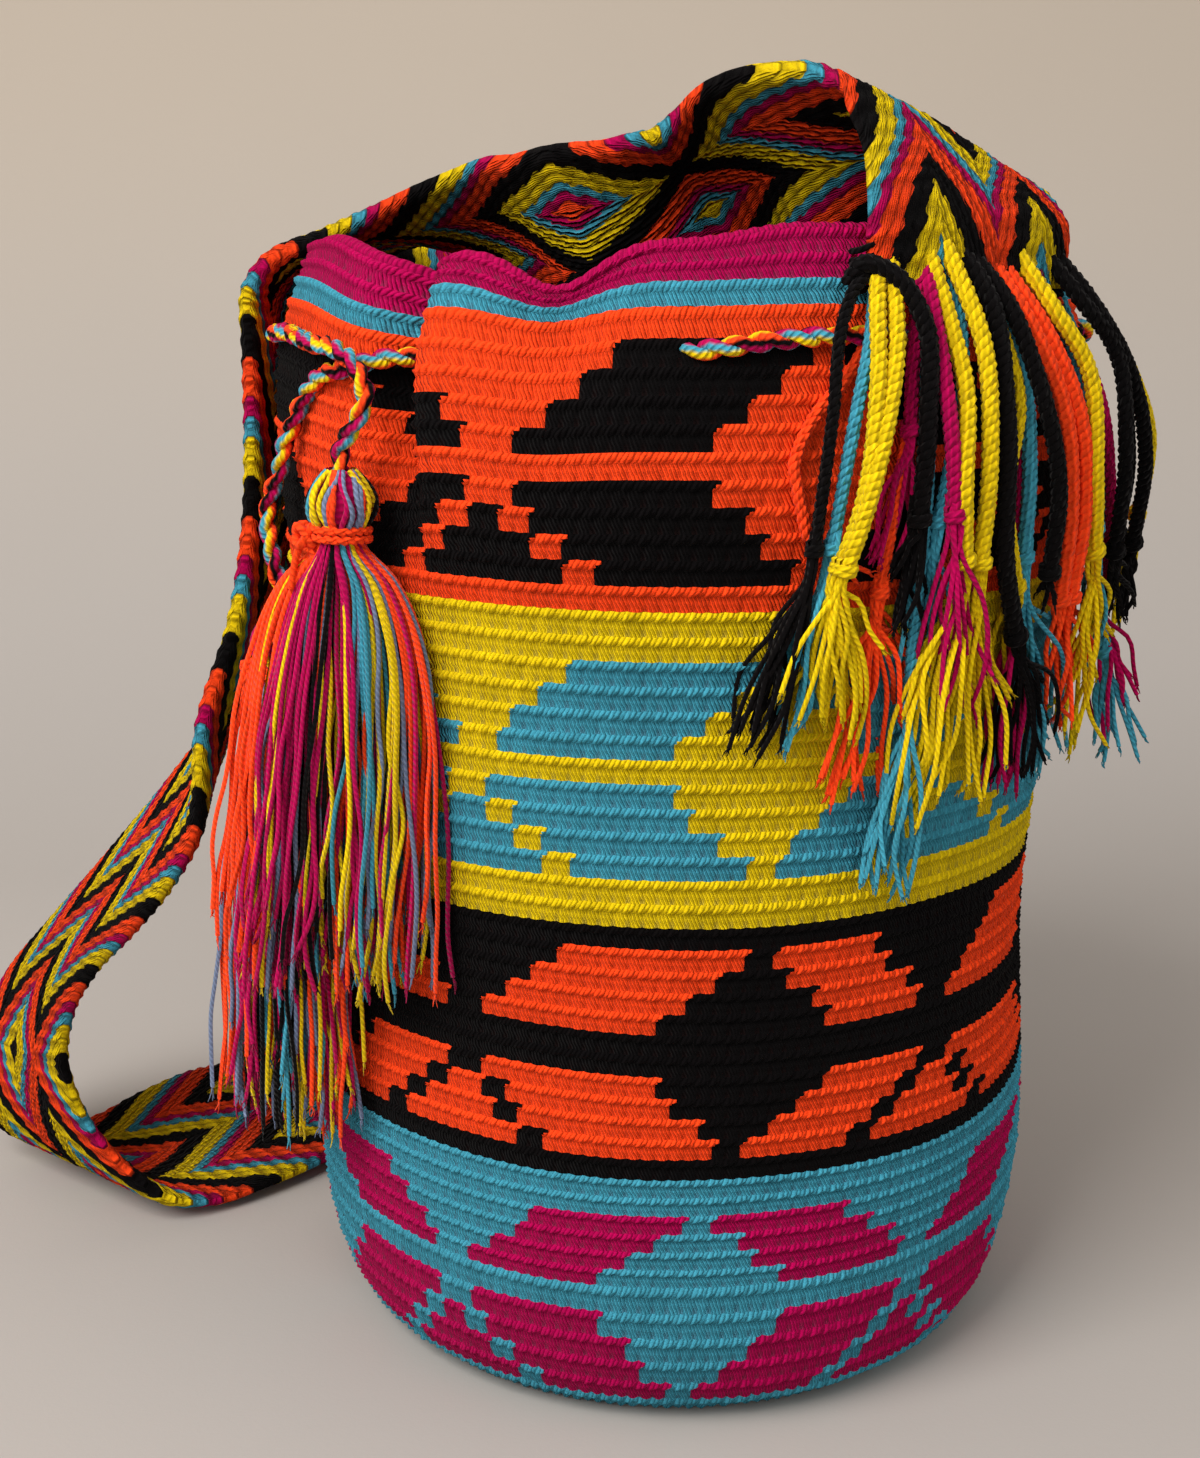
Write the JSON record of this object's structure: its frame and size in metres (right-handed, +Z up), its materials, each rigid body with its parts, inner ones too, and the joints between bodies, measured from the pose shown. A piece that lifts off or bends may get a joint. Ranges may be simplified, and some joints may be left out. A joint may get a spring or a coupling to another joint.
{
  "type": "crocheted bucket bag",
  "caption": "Round crocheted bucket bag with a woven shoulder strap sewn to its rim, knotted strap fringes and a laced drawstring with two tassels.",
  "frame": {"origin": "centre of the underside of the round base", "axes": "+Z up, -Y towards the front, where the drawstring's ends and the front end of the strap are"},
  "size_m": [0.3531, 0.2581, 0.3392],
  "materials": {
    "crochet": "matt yarn",
    "drawstring_yarn": "matt yarn",
    "strap_yarn": "matt yarn",
    "fringe_yarn": "matt yarn",
    "tassel_yarn": "soft sheen yarn",
    "tie_yarn": "matt yarn"
  },
  "bodies": {
    "root": {"bag_body": "crochet", "drawstring": "drawstring_yarn", "strap": "strap_yarn", "strap_fringe_front": "fringe_yarn", "strap_fringe_back": "fringe_yarn", "tassel_front": "tassel_yarn", "tassel_front_tie": "tie_yarn", "tassel_back": "tassel_yarn", "tassel_back_tie": "tie_yarn"}
  },
  "joints": []
}
